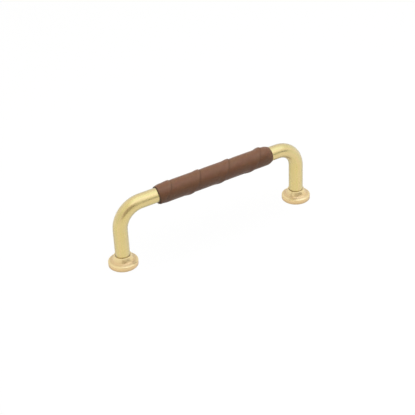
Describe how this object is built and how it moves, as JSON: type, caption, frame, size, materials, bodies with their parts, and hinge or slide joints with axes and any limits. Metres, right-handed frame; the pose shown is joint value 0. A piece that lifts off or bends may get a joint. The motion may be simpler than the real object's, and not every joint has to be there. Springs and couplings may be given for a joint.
{
  "type": "leather-wrapped bar pull handle",
  "caption": "Cabinet pull: a round brass rod bent into a bow, its grip wound with a lapped leather strip, each leg seated in a turned, flared brass foot.",
  "frame": {"origin": "midway between the feet, on the plane that they are screwed down on", "axes": "+X along the grip, towards the foot that is further away in the picture; +Z away from the drawer front, towards the grip; +Y across the grip"},
  "size_m": [0.1462, 0.0182, 0.0455],
  "materials": {
    "rod_brass": "satin, brushed along the rod, unlacquered",
    "foot_brass": "turned, lightly polished, warmer than the rod",
    "wrap_leather": "smooth vegetable-tanned brown, fine grain, matt"
  },
  "bodies": {
    "root": {"handle_rod": "rod_brass", "left_foot": "foot_brass", "right_foot": "foot_brass", "leather_wrap": "wrap_leather"}
  },
  "joints": []
}
